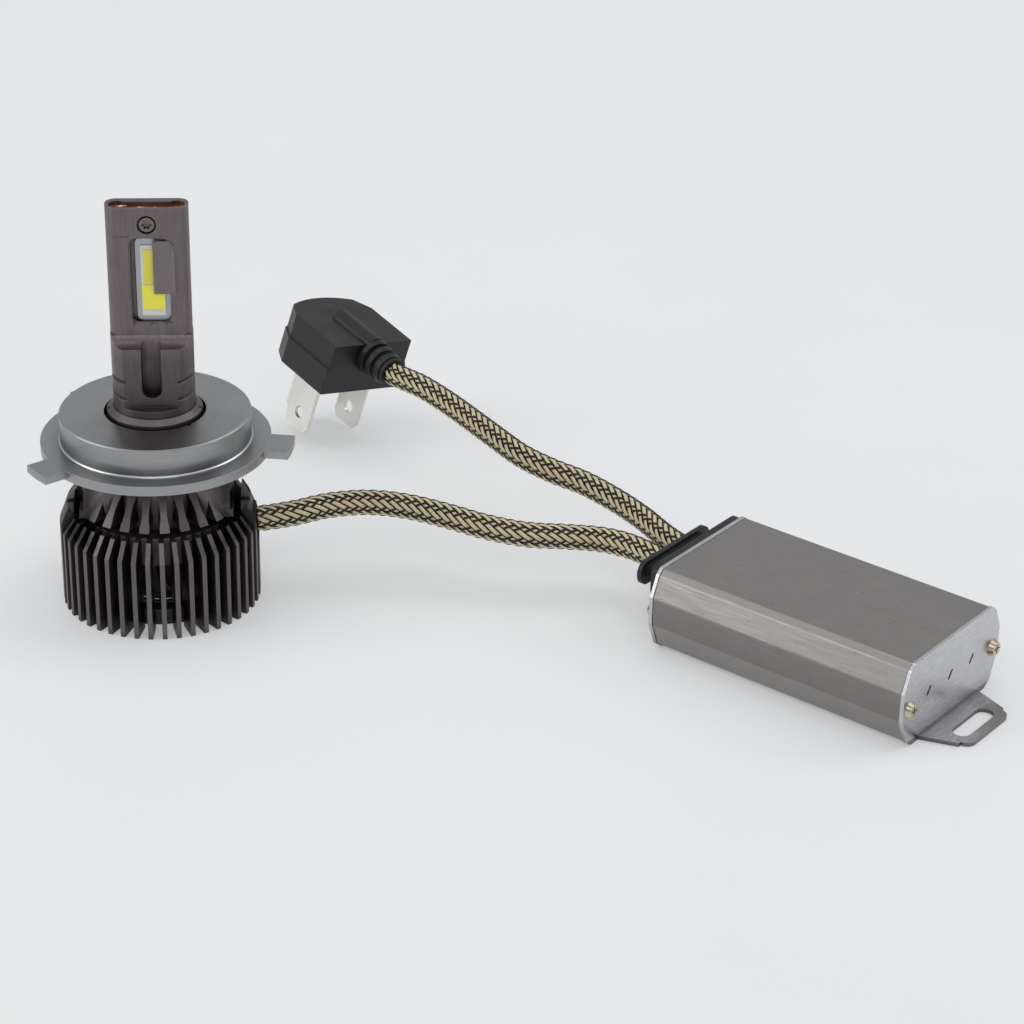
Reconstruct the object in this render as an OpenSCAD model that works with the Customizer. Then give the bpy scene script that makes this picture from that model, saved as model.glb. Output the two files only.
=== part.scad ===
// LED headlight bulb of the three-tab 38 mm kind, with its fan, driver box, two sleeved leads and plug.
// Origin: centre of the collar flange's upper face. +Z runs up the lamp column, -Y is the front lamp face.

/* [Collar] */
// Radius of the round flange that seats against the reflector
flange_r = 22.9; // [21.5:0.1:26]
// Thickness of the flange
flange_t = 2; // [1.6:0.1:3]
// Radius of the pilot boss that centres in the reflector
boss_r = 19; // [18:0.1:21]
// Height of the pilot boss above the flange
boss_h = 5.8; // [4.8:0.1:8]
// Reach of the three locating tabs from the axis
tab_reach = 27.6; // [26:0.1:32]
// Width of the wide reference tab
tab_w = 8; // [6:0.1:10]
// Width of the two narrow tabs
side_tab_w = 7; // [5:0.1:9]
// Thickness of the tabs
tab_t = 1.5; // [1:0.1:1.6]
// Angle that the collar is set to, from +X
collar_turn = -10; // [-180:1:180]
// Radial gap between the neck of the sink and the bore of the collar
collar_gap = 0.65; // [0.5:0.05:1.2]

/* [Lamp column] */
// Width of the flat upper column
column_w = 16; // [14:0.1:16.4]
// Thickness of the flat upper column
column_t = 5.2; // [5:0.1:6.4]
// Height of the column's top above the flange
column_top = 49.4; // [47:0.1:60]
// Height of the shoulder where the column turns round
shoulder_z = 22; // [18:0.1:24]
// Radius of the round lower body of the column
body_r = 8.1; // [8:0.1:10]
// Distance of the body's front and rear flats from the axis
flat_y = 5.9; // [5:0.1:6.6]
// Height of the ledge where the flats end
ledge_z = 8.8; // [8:0.1:12]
// Width of the long groove in each flat
groove_w = 3.9; // [2:0.1:5]

/* [Copper core] */
// Thickness of the copper plate between the column halves
core_t = 1.6; // [0.8:0.1:1.8]
// Radius of the two heat pipes along the plate's edges
pipe_r = 1.4; // [1:0.1:1.6]
// Distance of each heat pipe from the axis
pipe_x = 5.8; // [5.6:0.1:6]

/* [Lamp window] */
// Width of the window in each column half
window_w = 7.5; // [7:0.1:7.8]
// Height of the window
window_h = 17.4; // [16:0.1:20]
// Height of the window's lower edge above the flange
window_z = 25.7; // [24.5:0.1:27]
// Sideways offset of the window's centre
window_x = 0.35; // [0:0.05:0.5]
// Thickness of the metal lamp board
board_t = 0.9; // [0.6:0.1:1]

/* [Heat sink] */
// Radius over the lower fins
sink_r = 20; // [18.5:0.1:25]
// Depth of the sink's foot below the flange's upper face
sink_drop = 35.5; // [34:0.1:44]
// Number of lower fins
fin_count = 44; // [36:1:52]
// Thickness of a lower fin
fin_t = 0.95; // [0.7:0.05:1.2]
// Number of upper fin positions
upper_fin_count = 26; // [20:2:30]
// Thickness of an upper fin at its ends
upper_fin_t = 1.9; // [1.5:0.1:2.4]
// Half width of the two smooth side cheeks of the sink
cheek_y = 10; // [7:0.1:11]
// Wall of the neck around the column's foot
neck_wall = 1.3; // [0.9:0.05:1.5]

/* [Fan] */
// Radius of the fan frame
fan_r = 14.9; // [14:0.1:15]
// Height of the fan, from guard to mounting face
fan_h = 13.2; // [12:0.1:14]
// Number of fan blades
blade_count = 9; // [5:1:11]
// Radius of the fan shaft
shaft_r = 0.75; // [0.6:0.05:1]

/* [Driver box] */
// Length of the aluminium case
case_l = 57; // [50:1:75]
// Half width of the case at its widest
case_half_w = 17.3; // [16.5:0.1:21]
// Height of the case
case_h = 17.8; // [16.5:0.1:22]
// Wall of the case
case_wall = 1.3; // [1:0.1:1.6]
// Thickness of the two steel end plates and of the mounting tab
plate_t = 0.8; // [0.6:0.1:1.2]
// Length of the mounting tab
tab_l = 9.4; // [8:0.1:14]
// Length of the slot in the mounting tab
slot_l = 12; // [8:0.1:13]
// Width of the slot in the mounting tab
slot_w = 3.7; // [3:0.1:4.5]

/* [Leads] */
// Outer diameter of the braided sleeves
cord_d = 5; // [4:0.1:6]

/* [Plug] */
// Height of the plug's block
plug_h = 12; // [10:0.1:15]
// Width of the plug's block
plug_w = 22.6; // [21:0.1:27]
// Width of a contact blade
blade_w = 8; // [6.3:0.1:8.5]
// Thickness of a contact blade
blade_t = 0.8; // [0.8:0.1:1]
// Length of blade that stands out of the block
blade_l = 14; // [10:0.1:17]
// Distance between the two parallel blades
blade_gap = 14.4; // [12:0.1:16]

/* [Hidden] */
$fn = 64;

// Clearances: eps only lets a cut run past a face, fit is a close fit, run is a running fit.
eps = 0.05;
fit = 0.05;
run = 0.03;

// Levels of the sink, from its foot upwards.
foot_z = -sink_drop;
kink_z = foot_z + 16.85;
fin_top_z = kink_z + 3.5;
upper_z = fin_top_z + 1.8;
cone_top_z = upper_z + 6.6;
seat_z = -flange_t - fit;
neck_top_z = 6.4;
socket_z = -9;
plate_z = foot_z + 14.4;

// Radii of the sink.
socket_r = body_r + fit;
neck_r = body_r + fit + neck_wall;
seat_r = neck_r + 2.5;
fin_top_r = sink_r - 2.5;
upper_fin_r = sink_r - 3;
cavity_r = fan_r + 0.3;
collar_bore_r = neck_r + collar_gap;

// Lead outlet in the side of the sink.
outlet_z = foot_z + 16.5;
outlet_x = sink_r - 1.2;
grommet_r = cord_d / 2 + 0.7;
grommet_lip = 0.7;
grommet_lip_r = grommet_r + 0.5;

// Lamp parts, measured outwards from the column's middle plane.
core_y = core_t / 2;
board_y = core_y + 0.02;
base_y = board_y + board_t;
base_t = 0.3;
board_gap = 0.9;
chip_y = base_y + base_t;
chip_t = 0.25;
chip_gap = 0.35;
face_y = column_t / 2;
cove_top_z = shoulder_z + 0.9;
core_top_z = column_top - 0.75;
column_corner_r = 2.1;
lamp_z = window_z + 1.2;
shield_x = 0.95;
shield_z = window_z + 6.1;
shield_h = 10.8;
shield_rise = 0.5;
screw_z = window_z + window_h + 2.8;
screw_head_r = 1.45;
screw_head_h = 0.75;
screw_r = 0.75;

// O-ring between the neck and the collar.
ring_out_r = collar_bore_r + 0.62;
ring_in_r = neck_r + 0.03;
ring_mid_r = (ring_out_r + ring_in_r) / 2;
ring_r = (ring_out_r - ring_in_r) / 2;
ring_z = 2.9;

// Fan levels, from the guard upwards.
guard_z = foot_z + 0.6;
guard_t = 0.6;
frame_z = guard_z + guard_t;
hub_top_z = frame_z + 1.2;
rotor_z = hub_top_z + 0.9;
rotor_h = 7.4;
rotor_top_z = rotor_z + rotor_h;
hub_r = 6.2;
blade_tip_r = fan_r - 3.4;
post_r = 1.45;
post_at = fan_r - post_r - 0.05;
fan_screw_r = 0.8;
bearing_r = 1.3;
fan_posts = [60, 180, 300];

// Where the driver box and the plug lie. The box's own x runs from its gland to its tab.
driver_at = [151.65, -53.1, foot_z];
driver_yaw = -41.7;
plug_at = [41.1, 65.9, -21.5];
plug_turn = [-11.9, 10.6, -53.9];
plug_l = 15;
plug_taper_l = 4.5;
plug_end_w = plug_w - 4.9;
plug_nose = 2;
relief_l = 8.3;
relief_r = cord_d / 2 + 0.9;
relief_z = plug_h - 2.8;
blade_x = -8.8;
blade_in = 4;

// Driver box details.
plate_screw_y = case_half_w - 2.1;
plate_screw_z = 8.6;
plate_screw_r = 0.9;
gland_w = 23.6;
gland_h = 5.2;
gland_z = 12.6;
gland_reach = 7.2;
gland_lip = 1;
gland_foot_w = 30;
gland_foot_h = 7.7;
gland_foot_t = 1.6;
gland_foot_up = 1.5;
neck_w = gland_w - 4;
neck_h = gland_h - 2;
neck_round_r = 1.5;
lead_y = 3.6;
lead_z = gland_z;
rail_h = 3.2;
pcb_z = case_wall + rail_h + fit;
pcb_t = 1.2;

// Rotation by [x, y, z] degrees, in the order x, y, z.
function turn_x(p, a) = [p[0], p[1] * cos(a) - p[2] * sin(a), p[1] * sin(a) + p[2] * cos(a)];
function turn_y(p, a) = [p[0] * cos(a) + p[2] * sin(a), p[1], p[2] * cos(a) - p[0] * sin(a)];
function turn_z(p, a) = [p[0] * cos(a) - p[1] * sin(a), p[0] * sin(a) + p[1] * cos(a), p[2]];
function turned(p, a) = turn_z(turn_y(turn_x(p, a[0]), a[1]), a[2]);

// Ends of the two leads, and the directions in which they leave or enter.
sink_exit = [outlet_x + grommet_lip, 0, outlet_z];
gland_face = [-case_l - plate_t - gland_reach, 0, lead_z];
gland_near = driver_at + turn_z(gland_face - [0, lead_y, 0], driver_yaw);
gland_far = driver_at + turn_z(gland_face + [0, lead_y, 0], driver_yaw);
plug_exit = plug_at + turned([relief_l, 0, relief_z], plug_turn);
into_gland = turn_z([1, 0, 0], driver_yaw);
out_of_plug = turned([1, 0, 0], plug_turn);

// Free stretches of the leads, point by point.
bulb_route = [
    [27, 2, -18.9], [34, 4.8, -18.7], [42, 6, -18.7], [50, 5, -19.2], [58, 2.2, -20], [66, -1, -21],
    [74, -3, -21.8], [82, -3.2, -22.3], [89, -3.6, -22.8], [95, -6.6, -22.9]
];
plug_route = [
    [54.5, 52.6, -14.4], [60, 47, -15.7], [65, 40.5, -16.8], [70, 33.5, -17.8], [75, 26.8, -18.8],
    [81, 21.8, -19.8], [87.5, 17.8, -20.8], [93.5, 12, -21.8], [98.5, 5.5, -22.6]
];

// Sweep of a round section along points, as rings of cord_sides corners.
cord_sides = 12;
function unit(v) = v / norm(v);
function heading(p, i, first, last) =
    i == 0 ? unit(first) : i == len(p) - 1 ? unit(last) : unit(p[i + 1] - p[i - 1]);
function ring_points(c, t, r) =
    let (side = unit(cross(t, [0, 0, 1])), up = cross(side, t))
    [for (k = [0:cord_sides - 1]) c + r * (cos(360 * k / cord_sides) * side + sin(360 * k / cord_sides) * up)];

module cord_tube(points, first, last, r) {
    rings = [for (i = [0:len(points) - 1]) each ring_points(points[i], heading(points, i, first, last), r)];
    n = cord_sides;
    m = len(points) - 1;
    walls = [for (i = [0:m - 1]) for (k = [0:n - 1])
        [i * n + k, (i + 1) * n + k, (i + 1) * n + (k + 1) % n, i * n + (k + 1) % n]];
    start_cap = [[for (k = [0:n - 1]) k]];
    end_cap = [[for (k = [n - 1:-1:0]) m * n + k]];
    polyhedron(points = rings, faces = concat(walls, start_cap, end_cap), convexity = 6);
}

// Plain shapes that several parts share.
module tube(r_out, r_in, h) {
    difference() {
        cylinder(r = r_out, h = h);
        translate([0, 0, -eps]) cylinder(r = r_in, h = h + 2 * eps);
    }
}

module rounded_rect(w, d, r) {
    square([w - 2 * r, d], center = true);
    square([w, d - 2 * r], center = true);
    for (sx = [-1, 1]) {
        for (sy = [-1, 1]) translate([sx * (w / 2 - r), sy * (d / 2 - r)]) circle(r = r);
    }
}

// A flat outline, drawn as x and z, that fills the front side from distance y0 to y1 from the middle plane.
module front_slab(y0, y1) {
    translate([0, -y0, 0]) rotate([90, 0, 0]) linear_extrude(y1 - y0) children();
}

module six_lobe(r, h) {
    cylinder(r = r * 0.72, h = h);
    for (k = [0:5]) rotate([0, 0, 60 * k]) translate([r * 0.72, 0, 0]) cylinder(r = r * 0.28, h = h, $fn = 24);
}

module cross_slot(l, w, h) {
    translate([-l / 2, -w / 2, 0]) cube([l, w, h]);
    translate([-w / 2, -l / 2, 0]) cube([w, l, h]);
}

// ---- Heat sink ----

module lower_fin() {
    rotate([90, 0, 0]) linear_extrude(fin_t, center = true) polygon([
        [cavity_r, foot_z], [sink_r, foot_z], [sink_r, kink_z], [fin_top_r, fin_top_z], [cavity_r, fin_top_z]
    ]);
}

// One upper fin seen from outside: as wide as upper_fin_t at both ends and waisted between them.
module upper_fin_outline() {
    waist_r = 9;
    mid_z = (upper_z + cone_top_z) / 2;
    difference() {
        translate([-upper_fin_t / 2, upper_z]) square([upper_fin_t, seat_z - upper_z]);
        for (s = [-1, 1]) translate([s * (upper_fin_t * 0.34 + waist_r), mid_z]) circle(r = waist_r);
    }
}

module upper_fin() {
    translate([seat_r - 1, 0, 0]) rotate([90, 0, 90]) linear_extrude(sink_r - seat_r) upper_fin_outline();
}

module upper_fins() {
    intersection() {
        rotate_extrude() polygon([
            [0, upper_z], [upper_fin_r, upper_z], [seat_r + 0.2, cone_top_z], [seat_r + 0.2, seat_z - 1.5],
            [0, seat_z - 1.5]
        ]);
        for (k = [0:upper_fin_count - 1]) {
            a = 360 * (k + 0.5) / upper_fin_count - 90;
            if (abs(upper_fin_r * sin(a)) > cheek_y + 0.5) rotate([0, 0, a]) upper_fin();
        }
    }
}

// The smooth cheeks start level with the upper fins, and reach lower only around the lead's outlet.
module cheeks() {
    outlet_y = 4.5;
    intersection() {
        rotate_extrude() polygon([
            [0, kink_z - 1], [sink_r, kink_z - 1], [sink_r, kink_z + 0.7], [sink_r - 1.6, kink_z + 4.9],
            [sink_r - 3.8, kink_z + 7.7], [seat_r + 1.2, seat_z - 3.4], [0, seat_z - 3.4]
        ]);
        for (s = [-1, 1]) translate([s * (sink_r / 2 + 4), 0, 0]) {
            cube([sink_r, 2 * outlet_y, 80], center = true);
            translate([0, 0, upper_z + 40]) cube([sink_r, 2 * cheek_y, 80], center = true);
        }
    }
}

// The recess at each end of a cheek: an upright slot, a short one beside it and a thin slanting slit.
module cheek_recess() {
    slot_x = sink_r - 4.1;
    slot_wide = 1.4;
    slit_tilt = -27.5;
    for (side = [0, 1]) mirror([side, 0, 0]) for (end = [0, 1]) mirror([0, end, 0]) {
        translate([slot_x - slot_wide / 2, -cheek_y - 2, kink_z + 3.3]) cube([slot_wide, cheek_y + 1, 7.2]);
        translate([slot_x - slot_wide, -cheek_y - 2, kink_z + 6.4]) cube([slot_wide, cheek_y - 1, 2.6]);
        translate([slot_x, 0, kink_z + 4.2]) rotate([slit_tilt, 0, 0]) {
            translate([0, -12, -0.4]) cube([5, 10.5, 0.8]);
        }
    }
}

// The copper core's section from z0 to z1, grown by a clearance.
module core_bar(z0, z1, clear) {
    translate([0, 0, z0]) linear_extrude(z1 - z0) {
        square([2 * pipe_x, core_t + 2 * clear], center = true);
        for (s = [-1, 1]) translate([s * pipe_x, 0]) circle(r = pipe_r + clear);
    }
}

module heat_sink() {
    color("#4a4344") difference() {
        union() {
            translate([0, 0, plate_z]) cylinder(r = cavity_r + 0.4, h = fin_top_z - plate_z);
            translate([0, 0, fin_top_z - eps]) cylinder(r = seat_r - 0.4, h = upper_z - fin_top_z + 2 * eps);
            translate([0, 0, upper_z]) cylinder(r = seat_r, h = seat_z - upper_z);
            translate([0, 0, seat_z - eps]) cylinder(r = neck_r, h = neck_top_z - seat_z + eps);
            translate([0, 0, neck_top_z]) cylinder(r1 = neck_r, r2 = socket_r + 0.15, h = 0.9);
            for (k = [0:fin_count - 1]) rotate([0, 0, 360 * (k + 0.5) / fin_count - 90]) lower_fin();
            upper_fins();
            cheeks();
            translate([seat_r, 0, outlet_z]) rotate([0, 90, 0]) {
                cylinder(r = grommet_lip_r + 0.3, h = outlet_x - seat_r);
            }
        }
        translate([0, 0, socket_z]) cylinder(r = socket_r, h = neck_top_z - socket_z + 2);
        core_bar(socket_z - 6, socket_z + 1, fit);
        cheek_recess();
        translate([seat_r + 1, 0, outlet_z]) rotate([0, 90, 0]) cylinder(r = grommet_r + fit, h = sink_r);
        translate([outlet_x, 0, outlet_z]) rotate([0, 90, 0]) cylinder(r = grommet_lip_r + 0.3, h = 5);
        for (a = fan_posts) rotate([0, 0, a]) translate([post_at, 0, plate_z - eps]) {
            cylinder(r = fan_screw_r + fit, h = 4);
        }
        for (a = [-8, 188]) rotate([0, 0, a]) translate([neck_r - 0.4, 0, neck_top_z - 0.5]) {
            cylinder(r = 0.3, h = 2, $fn = 24);
        }
    }
}

module bulb_grommet() {
    color("#161616") translate([0, 0, outlet_z]) rotate([0, 90, 0]) {
        translate([0, 0, seat_r + 1.5]) tube(grommet_r, 1.9, outlet_x - seat_r - 1.5);
        translate([0, 0, outlet_x]) tube(grommet_lip_r, 1.9, grommet_lip);
    }
}

// ---- Lamp column ----

// The solid of one column half before its cuts, on the -Y side.
module half_blank() {
    intersection() {
        union() {
            translate([0, 0, shoulder_z]) linear_extrude(column_top - shoulder_z) {
                rounded_rect(column_w, column_t, column_corner_r);
            }
            translate([0, 0, socket_z + fit]) cylinder(r = body_r, h = cove_top_z - socket_z - fit);
        }
        translate([-20, -20, socket_z - 1]) cube([40, 20, 80]);
    }
}

// Everything that is cut out of a half's outside: flat, cove, groove and the two thread rings.
module half_outside_cuts() {
    cove_r = 3.3;
    translate([-20, -flat_y - 10, ledge_z]) cube([40, 10, shoulder_z - ledge_z + 2]);
    intersection() {
        translate([0, -face_y - 2.9, cove_top_z + 1.6]) rotate([0, 90, 0]) {
            cylinder(r = cove_r, h = 40, center = true);
        }
        translate([-20, -20 - face_y, shoulder_z - 3]) cube([40, 20, 10]);
    }
    front_slab(face_y + 0.7, flat_y + 3) {
        translate([-groove_w / 2, ledge_z + 2 + groove_w / 2]) square([groove_w, shoulder_z - ledge_z]);
        translate([0, ledge_z + 2 + groove_w / 2]) circle(r = groove_w / 2);
    }
    for (z = [ledge_z + 1.8, ledge_z + 5.4]) translate([0, 0, z]) rotate_extrude() {
        polygon([[body_r - 0.6, 0], [body_r + 1, -1.2], [body_r + 1, 1.2]]);
    }
}

module window_outline(grow) {
    translate([window_x, window_z + window_h / 2]) {
        rounded_rect(window_w + 2 * grow, window_h + 2 * grow, 1.3 + grow);
    }
}

// The lamp board's outline. It leaves a strip of the window's floor bare beside it.
module board_outline(grow) {
    translate([window_x + board_gap / 2, window_z + window_h / 2]) {
        rounded_rect(window_w - board_gap + 2 * grow, window_h + 2 * grow, 1.3 + grow);
    }
}

module half_window_cuts() {
    front_slab(0, face_y + 1) board_outline(0);
    front_slab(core_y + 0.5, face_y + 1) window_outline(0);
    front_slab(face_y - 0.3, face_y + 1) {
        translate([-0.2, 0]) window_outline(0.05);
    }
    for (x = [-3.1, 0.3, 3.15]) translate([window_x + x, -face_y - eps, window_z - 0.35]) {
        rotate([-90, 0, 0]) cylinder(r1 = 0.8, r2 = 0.2, h = 0.4, $fn = 24);
    }
    translate([-column_w, -face_y - 1, screw_z - 2.5]) cube([column_w + window_x - window_w / 2, 1.12, 0.16]);
}

module column_front() {
    color("#635b5c") difference() {
        half_blank();
        half_outside_cuts();
        half_window_cuts();
        core_bar(socket_z - 1, column_top + 1, fit);
        translate([0, 0, screw_z]) rotate([90, 0, 0]) cylinder(r = screw_r + fit, h = 10);
        translate([0, -face_y + screw_head_h + 0.15, screw_z]) rotate([90, 0, 0]) {
            cylinder(r = screw_head_r + 0.4, h = 10);
        }
        translate([0, 0, core_top_z]) linear_extrude(column_top) {
            rounded_rect(2 * (pipe_x + pipe_r + 0.1), column_t - 0.9, column_corner_r - 0.3);
        }
    }
}

module column_rear() {
    color("#635b5c") mirror([0, 1, 0]) difference() {
        half_blank();
        half_outside_cuts();
        half_window_cuts();
        core_bar(socket_z - 1, column_top + 1, fit);
        translate([0, 0, screw_z]) rotate([90, 0, 0]) cylinder(r = screw_r + fit, h = face_y - 0.4);
    }
}

module copper_core() {
    color("#b5673c") difference() {
        core_bar(socket_z - 6 + fit, core_top_z, 0);
        translate([0, 5, screw_z]) rotate([90, 0, 0]) cylinder(r = screw_r + 0.15, h = 10);
    }
}

module column_screw() {
    head_y = -face_y + 0.15;
    color("#3b3331") translate([0, head_y, screw_z]) rotate([-90, 0, 0]) difference() {
        union() {
            cylinder(r = screw_head_r, h = screw_head_h);
            cylinder(r = screw_r, h = column_t - 0.9);
        }
        translate([0, 0, -eps]) six_lobe(0.95, 0.6);
    }
}

module led_board() {
    front_slab(board_y, base_y) board_outline(-fit);
}

// The white base of the lamp chips, and above it the two chips, one over the other.
base_x0 = -1.45;
base_x1 = 3.1;
upper_chip_z = lamp_z + 6.75;
module led_base() {
    front_slab(base_y, chip_y) translate([base_x0, lamp_z]) square([base_x1 - base_x0, 14.6]);
}

module led_chips() {
    front_slab(chip_y, chip_y + chip_t) {
        translate([base_x0 + 0.1, lamp_z + 1.4]) square([base_x1 - base_x0 - 0.2, 4.95]);
        translate([base_x0 + 0.5, lamp_z + 1.4 + 4.95 + chip_gap]) square([3.4, 7]);
    }
}

// The cut-off shield: a bevelled plate over one side of the chips, on a foot beside them.
module shield_outline(inset) {
    edge = window_x + window_w / 2 + 1;
    round_r = 1.6;
    difference() {
        translate([shield_x, shield_z]) square([edge - inset - shield_x, shield_h - inset]);
        translate([edge - inset - round_r, shield_z + shield_h - inset - round_r]) difference() {
            square([round_r + 1, round_r + 1]);
            circle(r = round_r);
        }
    }
}

module beam_shield() {
    window_edge = window_x + window_w / 2 - fit;
    foot_x = base_x1 + 0.3;
    front_slab(face_y, face_y + shield_rise / 2) shield_outline(0);
    front_slab(face_y + shield_rise / 2, face_y + shield_rise) shield_outline(0.3);
    front_slab(chip_y + chip_t + 0.2, face_y) {
        translate([shield_x, shield_z]) square([window_edge - shield_x, shield_h - 1.2]);
    }
    front_slab(base_y, face_y) {
        translate([foot_x, shield_z + 0.3]) square([window_edge - foot_x, shield_h - 1.8]);
    }
}

// ---- Collar ----

module collar_tab(w) {
    intersection() {
        translate([flange_r - 2, -w / 2, -tab_t]) cube([tab_reach, w, tab_t]);
        translate([0, 0, -tab_t]) cylinder(r = tab_reach, h = tab_t);
    }
}

module collar() {
    recess_r = boss_r - 1.8;
    color("#9a9b9c") rotate([0, 0, collar_turn]) difference() {
        union() {
            translate([0, 0, -flange_t]) cylinder(r = flange_r, h = flange_t);
            cylinder(r = boss_r, h = boss_h - 0.25);
            translate([0, 0, boss_h - 0.25]) cylinder(r1 = boss_r, r2 = boss_r - 0.25, h = 0.25);
            collar_tab(tab_w);
            for (a = [135, 225]) rotate([0, 0, a]) collar_tab(side_tab_w);
        }
        translate([0, 0, -flange_t - eps]) cylinder(r = collar_bore_r, h = flange_t + boss_h + 2 * eps);
        translate([0, 0, -flange_t - eps]) difference() {
            cylinder(r = recess_r, h = flange_t + boss_h - 1.8);
            translate([0, 0, -eps]) cylinder(r = seat_r + 0.2, h = flange_t + boss_h);
        }
        translate([0, 0, ring_z - ring_r - run]) cylinder(r = ring_out_r + run, h = 2 * (ring_r + run));
        rotate([0, 0, -37]) translate([collar_bore_r + 0.1, 0, boss_h - 0.5]) cylinder(r = 0.45, h = 1, $fn = 24);
    }
}

module collar_o_ring() {
    color("#101010") translate([0, 0, ring_z]) rotate_extrude() translate([ring_mid_r, 0]) circle(r = ring_r);
}

// ---- Fan ----

module fan_frame() {
    ring_h = 2.8;
    color("#1b1b1c") difference() {
        union() {
            translate([0, 0, frame_z]) tube(fan_r, blade_tip_r + 0.6, ring_h);
            translate([0, 0, frame_z]) cylinder(r = 5.4, h = hub_top_z - frame_z);
            translate([0, 0, hub_top_z - eps]) cylinder(r = bearing_r + 0.7, h = 6);
            for (a = fan_posts) rotate([0, 0, a]) {
                translate([post_at, 0, frame_z]) cylinder(r = post_r, h = plate_z - frame_z - fit);
            }
            for (a = [30, 120, 210, 300]) rotate([0, 0, a]) {
                translate([4, -0.8, frame_z]) cube([blade_tip_r - 2, 1.6, hub_top_z - frame_z]);
            }
        }
        translate([0, 0, hub_top_z - 0.6]) cylinder(r = bearing_r + fit, h = 8);
        for (a = fan_posts) rotate([0, 0, a]) translate([post_at, 0, frame_z - eps]) {
            cylinder(r = fan_screw_r + fit, h = fan_h + 1);
        }
    }
}

module fan_bearing() {
    color("#a97b3c") translate([0, 0, hub_top_z - 0.6 + fit]) tube(bearing_r, shaft_r + run, 5.6);
}

module fan_shaft() {
    shaft_z = hub_top_z - 0.3;
    color("#c8c8c8") translate([0, 0, shaft_z]) cylinder(r = shaft_r, h = rotor_top_z - 0.3 - shaft_z);
}

module fan_blade() {
    chord = 5.4;
    intersection() {
        translate([hub_r - 0.5, 0, rotor_z + rotor_h / 2]) rotate([38, 0, 0]) {
            translate([0, -0.3, -chord / 2]) cube([blade_tip_r, 0.6, chord]);
        }
        translate([0, 0, rotor_z + 0.2]) cylinder(r = blade_tip_r, h = rotor_h - 0.4);
    }
}

module fan_rotor() {
    color("#232324") difference() {
        union() {
            translate([0, 0, rotor_z]) cylinder(r = hub_r, h = rotor_h);
            for (k = [0:blade_count - 1]) rotate([0, 0, 360 * k / blade_count]) fan_blade();
        }
        difference() {
            translate([0, 0, rotor_z - eps]) cylinder(r = hub_r - 0.8, h = rotor_h - 1 + eps);
            translate([0, 0, rotor_top_z - 1.8]) cylinder(r = 1.7, h = 2);
        }
        translate([0, 0, rotor_z]) cylinder(r = shaft_r, h = rotor_h - 0.3);
    }
}

module fan_magnet() {
    color("#3c3a38") translate([0, 0, rotor_z + 0.3]) tube(hub_r - 0.8, hub_r - 1.5, 4.6);
}

module fan_stator() {
    color("#77787a") translate([0, 0, rotor_z + 0.6]) difference() {
        union() {
            cylinder(r = bearing_r + 1.4, h = 3.2);
            for (k = [0:3]) rotate([0, 0, 90 * k]) {
                translate([0, -0.45, 0.6]) cube([3.9, 0.9, 2]);
                intersection() {
                    difference() {
                        cylinder(r = hub_r - 1.8, h = 3.2);
                        translate([0, 0, -eps]) cylinder(r = hub_r - 2.4, h = 4);
                    }
                    translate([0, -2, 0]) cube([10, 4, 3.2]);
                }
            }
        }
        translate([0, 0, -eps]) cylinder(r = bearing_r + 0.7 + fit, h = 4);
    }
}

module fan_coils() {
    color("#b5652e") translate([0, 0, rotor_z + 0.6]) for (k = [0:3]) rotate([0, 0, 90 * k]) {
        translate([bearing_r + 1.5, -1, 0.1]) difference() {
            cube([0.8, 2, 3]);
            translate([-eps, 1 - 0.5, 0.45]) cube([1.2, 1, 2.1]);
        }
    }
}

module fan_board() {
    color("#1d5a33") translate([0, 0, hub_top_z + 0.05]) tube(5, bearing_r + 0.8, 0.5);
}

module fan_guard() {
    color("#2a2a2b") translate([0, 0, guard_z]) difference() {
        union() {
            tube(fan_r, blade_tip_r + 1.2, guard_t);
            tube(blade_tip_r - 1.8, blade_tip_r - 2.8, guard_t);
            tube(6.6, 5.6, guard_t);
            cylinder(r = 2.6, h = guard_t);
            for (a = [0:60:300]) rotate([0, 0, a + 30]) translate([2, -0.45, 0]) cube([fan_r - 3, 0.9, guard_t]);
        }
        for (a = fan_posts) rotate([0, 0, a]) translate([post_at, 0, -eps]) {
            cylinder(r = fan_screw_r + fit, h = guard_t + 2 * eps);
        }
    }
}

module fan_screws() {
    head_h = 0.5;
    color("#8d8f91") for (a = fan_posts) rotate([0, 0, a]) translate([post_at, 0, guard_z - head_h]) {
        difference() {
            union() {
                cylinder(r = post_r - 0.05, h = head_h);
                cylinder(r = fan_screw_r, h = plate_z - guard_z + head_h + 3.4);
            }
            translate([0, 0, -eps]) cross_slot(1.4, 0.3, 0.35);
        }
    }
}

// ---- Driver box ----

module in_driver_frame() {
    translate(driver_at) rotate([0, 0, driver_yaw]) children();
}

// The case's section, drawn as y and z, with every corner rounded.
module case_outline(inset) {
    w = case_half_w;
    h = case_h;
    offset(r = 0.8, $fn = 24) offset(delta = -0.8 - inset) polygon([
        [-w + 4.1, 0], [w - 4.1, 0], [w - 2.1, 1.4], [w, 6.6], [w, h - 5.5], [w - 1.9, h - 1.1], [w - 3.2, h],
        [-w + 3.2, h], [-w + 1.9, h - 1.1], [-w, h - 5.5], [-w, 6.6], [-w + 2.1, 1.4]
    ]);
}

// Raises an outline drawn as y and z along the box's own x, from x0 over a length.
module along_case(x0, l) {
    translate([x0, 0, 0]) rotate([90, 0, 90]) linear_extrude(l) children();
}

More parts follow.
